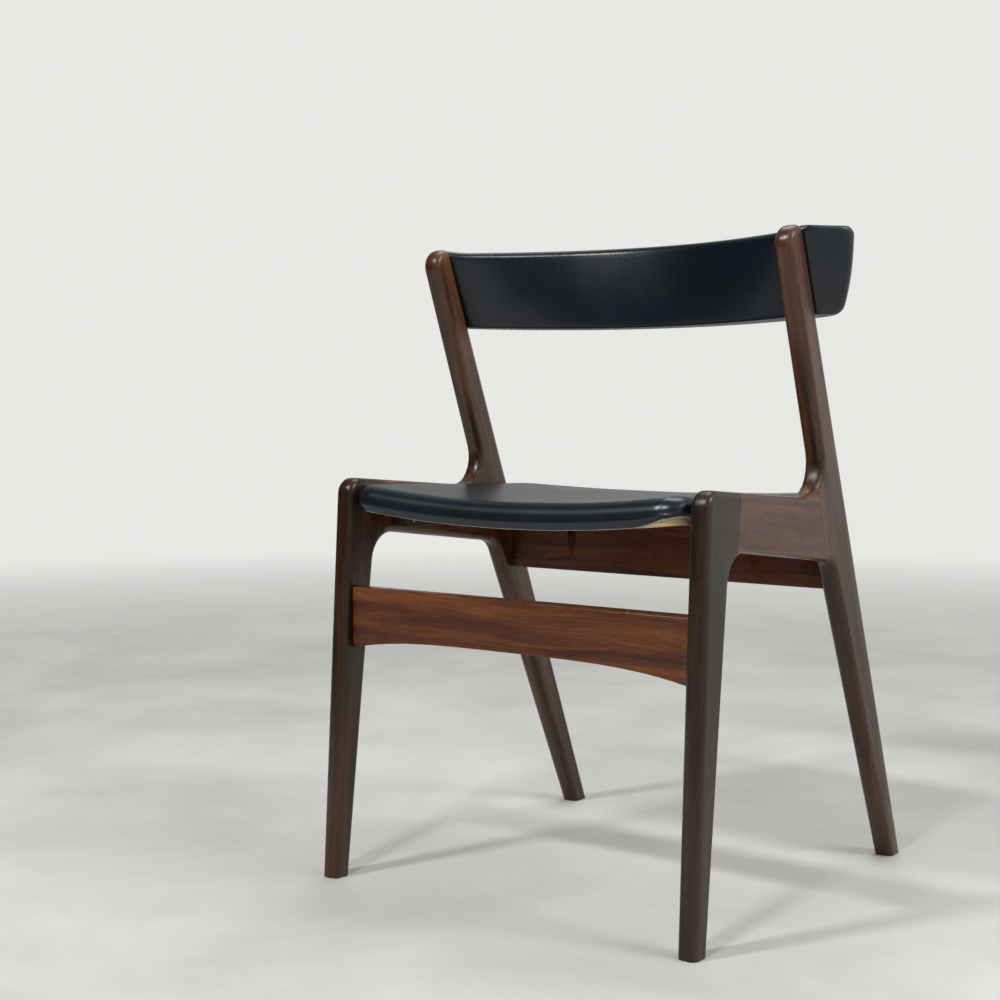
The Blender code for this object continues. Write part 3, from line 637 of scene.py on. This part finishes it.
CAP_SWELL = 0.0028


def band_corners(share):
    """Front and rear corners of the band's section, below and above."""
    bulge = 1 - share * share
    x_front = BAND_HALF_FRONT * share
    contact = max(0.0, 1 - (x_front / BAND_CONTACT_HALF) ** 2)
    levels = (
        (BAND_BOTTOM_Z, BAND_CENTRE_DROP, BAND_SAG_BOTTOM, BAND_REAR_BOTTOM),
        (BAND_TOP_Z, 0.0, BAND_SAG_TOP, BAND_REAR_TOP),
    )
    corners = []
    rise = END_RISE * smooth(abs(share), *RISE_SPAN)
    for z, drop, sag, (rear_half, rear_end, rear_sag) in levels:
        front = POST_REAR_FLOOR + POST_REAR_SLOPE * z + BAND_FRONT_GAP + sag * contact
        rear = rear_end + rear_sag * bulge
        height = z - drop * bulge + (rise if z == BAND_TOP_Z else 0.0)
        corners.append(Vector((x_front, front, height)))
        corners.append(Vector((rear_half * share, rear, height)))
    return corners


def arc_between(corner, before, after, radius, steps):
    """Arc that rounds a corner between the points before and after it."""
    to_before = (before - corner).normalized()
    to_after = (after - corner).normalized()
    half_angle = to_before.angle(to_after) / 2
    centre = corner + (to_before + to_after).normalized() * (radius / math.sin(half_angle))
    tangent = radius / math.tan(half_angle)
    start = (corner + to_before * tangent - centre).normalized()
    end = (corner + to_after * tangent - centre).normalized()
    return [centre + start.slerp(end, step / steps) * radius for step in range(steps + 1)]


def run(start, end, count):
    """Points strictly between two points."""
    return [start.lerp(end, step / (count + 1)) for step in range(1, count + 1)]


def lining_width(share):
    """Width share of the lining along the band, pointed at both ends."""
    return min(1.0, max(0.0, (LINING_END - abs(share)) / LINING_TAPER)) ** 0.8


def band_ring(share, near, far, upper, lower):
    """Section of the band with its four sides moved in by the given insets."""
    front_bottom, rear_bottom, front_top, rear_top = band_corners(share)
    up = (front_top - front_bottom).normalized()
    up_rear = (rear_top - rear_bottom).normalized()
    back_top = (rear_top - front_top).normalized()
    back_low = (rear_bottom - front_bottom).normalized()
    fb = front_bottom + back_low * near + up * lower
    ft = front_top + back_top * near - up * upper
    rt = rear_top - back_top * far - up_rear * upper
    rb = rear_bottom - back_low * far + up_rear * lower
    ring = []
    tail = smooth(abs(share), *CORNER_SPAN)
    rear_radius = BAND_REAR_RADIUS + (BAND_TAIL_RADIUS - BAND_REAR_RADIUS) * tail
    front_foot = arc_between(fb, rb, ft, BAND_FOOT_RADIUS, FOOT_STEPS)
    front_head = arc_between(ft, fb, rt, BAND_TOP_RADIUS, HEAD_STEPS)
    rear_head = arc_between(rt, ft, rb, BAND_TOP_RADIUS + TAIL_EXTRA * tail, HEAD_STEPS)
    rear_foot = arc_between(rb, rt, fb, rear_radius, FOOT_STEPS)
    ring += front_foot + run(front_foot[-1], front_head[0], FACE_POINTS) + front_head
    ring += run(front_head[-1], rear_head[0], TOP_POINTS) + rear_head
    ring += run(rear_head[-1], rear_foot[0], FACE_POINTS) + rear_foot
    swell_band(ring, share, fb, ft, rt)
    ring += underside(rear_foot[-1], front_foot[0], share)
    return ring


def swell_band(ring, share, front_bottom, front_top, rear_top):
    """Push the front, rear and end faces of a section out like stretched padding."""
    height = front_top.z - front_bottom.z
    x = abs(share) * BAND_HALF_FRONT
    free = 1 - smooth(x, *FREE_SPAN)
    tail = 1 - smooth(abs(share), *TAIL_SPAN)
    outer = smooth(abs(share), *OUTER_SPAN)
    out = (front_top - rear_top).normalized()
    for index, point in enumerate(ring):
        level = min(1.0, max(0.0, (point.z - front_bottom.z) / height))
        profile = math.sin(math.pi * level ** 0.85)
        in_front = index < FRONT_COUNT
        uneven = SWELL_DRIFT * noise.noise(Vector((share * 5.0, level * 1.6, 8.0 + in_front)))
        depth = (point - front_bottom).dot(-out) / (rear_top - front_top).length
        point.x += math.copysign(END_SWELL * profile * smooth(depth, 0.1, 0.9), share) * outer
        if in_front:
            point += out * ((FRONT_SWELL + uneven) * profile * free)
        else:
            point -= out * ((REAR_SWELL + uneven) * profile * tail)


def underside(rear, front, share):
    """Points under the band, with a shallow recess for the lining."""
    width = lining_width(share)
    middle = rear.lerp(front, 0.5)
    rear_lip = rear + (middle - rear) * (1 - width * (1 - LINING_MARGIN / (middle - rear).length))
    front_lip = front + (middle - front) * (1 - width * (1 - LINING_MARGIN / (middle - front).length))
    rise = Vector((0.0, 0.0, LINING_RECESS * smooth(width, 0.0, 0.25)))
    inner = rear_lip.lerp(front_lip, LIP_SHARE) + rise
    outer = front_lip.lerp(rear_lip, LIP_SHARE) + rise
    shift = Vector((0.0, 0.0, LIP_TUCK * math.sin(share * LIP_PITCH)))
    shaped = (rear_lip + shift, inner, inner.lerp(outer, 0.5), outer, front_lip + shift)
    plain = run(rear, front, UNDER_POINTS)
    return [flat.lerp(point, smooth(width, 0.0, 0.3)) for flat, point in zip(plain, shaped)]


def end_inset(distance, radius):
    """Inset of a side that rounds over the end of the band."""
    start = BAND_END_LENGTH - radius
    share = min(1.0, max(0.0, (distance - start) / radius))
    return radius * (1 - math.sqrt(max(0.0, 1 - share * share)))


def band_rings():
    """Rings of the closed backrest band with rounded, slightly swollen ends."""
    reach = 1 - BAND_END_LENGTH / BAND_HALF_FRONT
    half = BAND_STATIONS // 2
    stations = [(reach * step / half, 0.0) for step in range(0, half + 1)]
    for step in range(1, END_STEPS + 1):
        distance = BAND_END_LENGTH * math.sin(math.pi / 2 * step / END_STEPS)
        stations.append((reach + distance / BAND_HALF_FRONT, distance))
    full = [(-share, distance) for share, distance in reversed(stations[1:])] + stations
    rings = []
    for share, distance in full:
        near = end_inset(distance, BAND_END_FRONT)
        far = end_inset(distance, BAND_END_REAR)
        rings.append(band_ring(share, near, far, near, near))
    for last, towards in ((0, -1), (-1, 1)):
        rim = rings[last]
        centre = sum(rim, Vector()) / len(rim)
        caps = []
        for scale in CAP_SCALES:
            swell = Vector((towards * CAP_SWELL * (1 - scale * scale), 0.0, 0.0))
            caps.append([centre.lerp(point, scale) + swell for point in rim])
        if last == 0:
            rings = list(reversed(caps)) + rings
        else:
            rings = rings + caps
    return rings


def build_band(cover):
    """The padded backrest band."""
    bm, _ = loft(band_rings())
    band = mesh_object("backrest_band", bm, (cover,))
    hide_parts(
        "backrest_cover", "backrest_front_pad", "backrest_rear_pad", "backrest_core",
    )
    return band


def build_lining(cloth):
    """Lining strip in the recess under the band, pointed at both ends."""
    rings = []
    thickness = Vector((0.0, 0.0, LINING_THICKNESS))
    for step in range(LINING_STATIONS + 1):
        share = (LINING_END - LINING_SHORT) * (2 * step / LINING_STATIONS - 1)
        front_bottom, rear_bottom, _, _ = band_corners(share)
        direction = (rear_bottom - front_bottom).normalized()
        front = front_bottom + direction * BAND_FOOT_RADIUS
        rear = rear_bottom - direction * BAND_FOOT_RADIUS
        middle = front.lerp(rear, 0.5)
        reach = (rear - front).length / 2
        width = max(0.0005, (reach - LINING_MARGIN) * lining_width(share) - 0.0006)
        pucker = PUCKER_HEIGHT * math.sin(share * PUCKER_PITCH)
        base = Vector((0.0, 0.0, 0.0001 + pucker))
        near = middle - direction * width + base
        far = middle + direction * width + base
        low = [near, middle + base, far]
        rings.append(low + [point + thickness for point in reversed(low)])
    bm, _ = loft(rings)
    strip = mesh_object("backrest_lining", bm, (cloth,))
    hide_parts("backrest_liner")
    return strip


# ---------------------------------------------------------------- stage

FLOOR_SIZE = 12.0
FLOOR_FADE_START = 1.6
FLOOR_FADE_END = 4.2
FRONT_GLOW = 0.05
REAR_GLOW = 1.05
GLOW_SIDE = (0.66, 0.75, 0.0)
BACKGROUND = (0.80, 0.81, 0.785, 1.0)
LAMP_AIM = (0.0, 0.0, 0.45)
LAMPS = (
    ("front_lamp", (-0.9, -2.4, 2.5), (0.32, 0.20), 52.0),
    ("centre_lamp", (0.4, -2.6, 2.7), (0.32, 0.20), 40.0),
    ("side_lamp", (2.6, 0.2, 2.3), (1.0, 0.7), 34.0),
    ("top_lamp", (-0.3, 0.9, 2.9), (1.6, 1.2), 26.0),
)


def build_floor():
    """Plain pale floor."""
    bm = bmesh.new()
    bmesh.ops.create_grid(bm, x_segments=1, y_segments=1, size=FLOOR_SIZE / 2)
    mesh = bpy.data.meshes.new("floor")
    bm.to_mesh(mesh)
    bm.free()
    mesh.materials.append(floor_material())
    floor = bpy.data.objects.new("floor", mesh)
    bpy.context.scene.collection.objects.link(floor)


def soft_light(name, place, size, power):
    """Rectangular studio light aimed at the middle of the chair."""
    lamp = bpy.data.lights.new(name, "AREA")
    lamp.shape = "RECTANGLE"
    lamp.size, lamp.size_y = size
    lamp.energy = power
    item = bpy.data.objects.new(name, lamp)
    item.location = place
    aim = Vector(LAMP_AIM) - Vector(place)
    item.rotation_euler = aim.to_track_quat("-Z", "Y").to_euler()
    bpy.context.scene.collection.objects.link(item)


def build_studio():
    """Pale surroundings, soft lights and the camera."""
    world = bpy.data.worlds.new("studio")
    world.use_nodes = True
    tree = world.node_tree
    sky = tree.nodes["Background"]
    sky.inputs["Color"].default_value = BACKGROUND
    way = tree.nodes.new("ShaderNodeTexCoord").outputs["Generated"]
    settings = {"operation": "DOT_PRODUCT"}
    level = add(tree, "ShaderNodeVectorMath", settings, {0: way, 1: GLOW_SIDE}).outputs["Value"]
    glow = spread(tree, level, -0.5, 0.8, FRONT_GLOW, REAR_GLOW)
    seen = tree.nodes.new("ShaderNodeLightPath").outputs["Is Camera Ray"]
    strength = add(tree, "ShaderNodeMath", {"operation": "MAXIMUM"}, {0: glow, 1: seen}).outputs[0]
    tree.links.new(strength, sky.inputs["Strength"])
    bpy.context.scene.world = world
    bpy.context.scene.view_settings.view_transform = "Standard"
    for name, place, size, power in LAMPS:
        soft_light(name, place, size, power)
    lens = bpy.data.cameras.new("camera")
    lens.lens = CAMERA_LENS
    camera = bpy.data.objects.new("camera", lens)
    camera.location = CAMERA_PLACE
    camera.rotation_euler = (math.pi / 2 + CAMERA_PITCH, 0.0, CAMERA_HEADING)
    bpy.context.scene.collection.objects.link(camera)
    bpy.context.scene.camera = camera


# ---------------------------------------------------------------- assembly

DARK_TONES = ((0.0070, 0.0034, 0.0026), (0.019, 0.0090, 0.0062), (0.042, 0.021, 0.014))
RED_TONES = ((0.013, 0.0042, 0.0025), (0.044, 0.0135, 0.0062), (0.100, 0.034, 0.014))
FRAME_TONES = ((0.020, 0.0072, 0.0036), (0.070, 0.0255, 0.0110), (0.150, 0.062, 0.025))
CROSS_TONES = ((0.022, 0.0052, 0.0020), (0.082, 0.0200, 0.0056), (0.180, 0.054, 0.014))


def dress_frame():
    """Give every wooden member its own piece of grain."""
    for label, side in SIDES:
        seed = 5 + side
        leg_tones = DARK_TONES if side > 0 else RED_TONES
        dress(f"{label}_front_leg", wood(f"{label}_leg_wood", LEG_GRAIN, leg_tones, seed + 0.3))
        dress(f"{label}_side_rail", wood(f"{label}_rail_wood", RAIL_GRAIN, FRAME_TONES, seed + 0.9))
        dress(f"{label}_rear_post", wood(f"{label}_post_wood", POST_GRAIN, FRAME_TONES, seed + 1.7))
    dress("front_stretcher", wood("stretcher_wood", WIDTH_GRAIN, CROSS_TONES, 2.2))
    dress("rear_seat_rail", wood("rear_rail_wood", WIDTH_GRAIN, CROSS_TONES, 8.1))


def dress_hardware():
    """Materials of the seat board, blocks, dowels, screws and bolts."""
    board = plywood()
    steel = zinc()
    block = plain_wood("block_wood", (0.020, 0.0085, 0.0050), (0.085, 0.036, 0.018), RAIL_GRAIN, 3.1)
    beech = plain_wood("dowel_beech", (0.38, 0.26, 0.14), (0.55, 0.40, 0.24), WIDTH_GRAIN, 6.4)
    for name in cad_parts:
        if name.endswith("_seat_block"):
            dress(name, block)
        elif "_dowel_" in name:
            dress(name, beech)
        elif "_bolt_" in name or name.endswith("_screw") or "_screw_" in name:
            dress(name, steel)
    dress("seat_board", board)


dress_frame()
dress_hardware()
vinyl = leathercloth()
backing = cloth_backing()
build_seat(vinyl, backing)
build_fray(backing)
build_band(vinyl)
build_lining(lining())
build_floor()
build_studio()
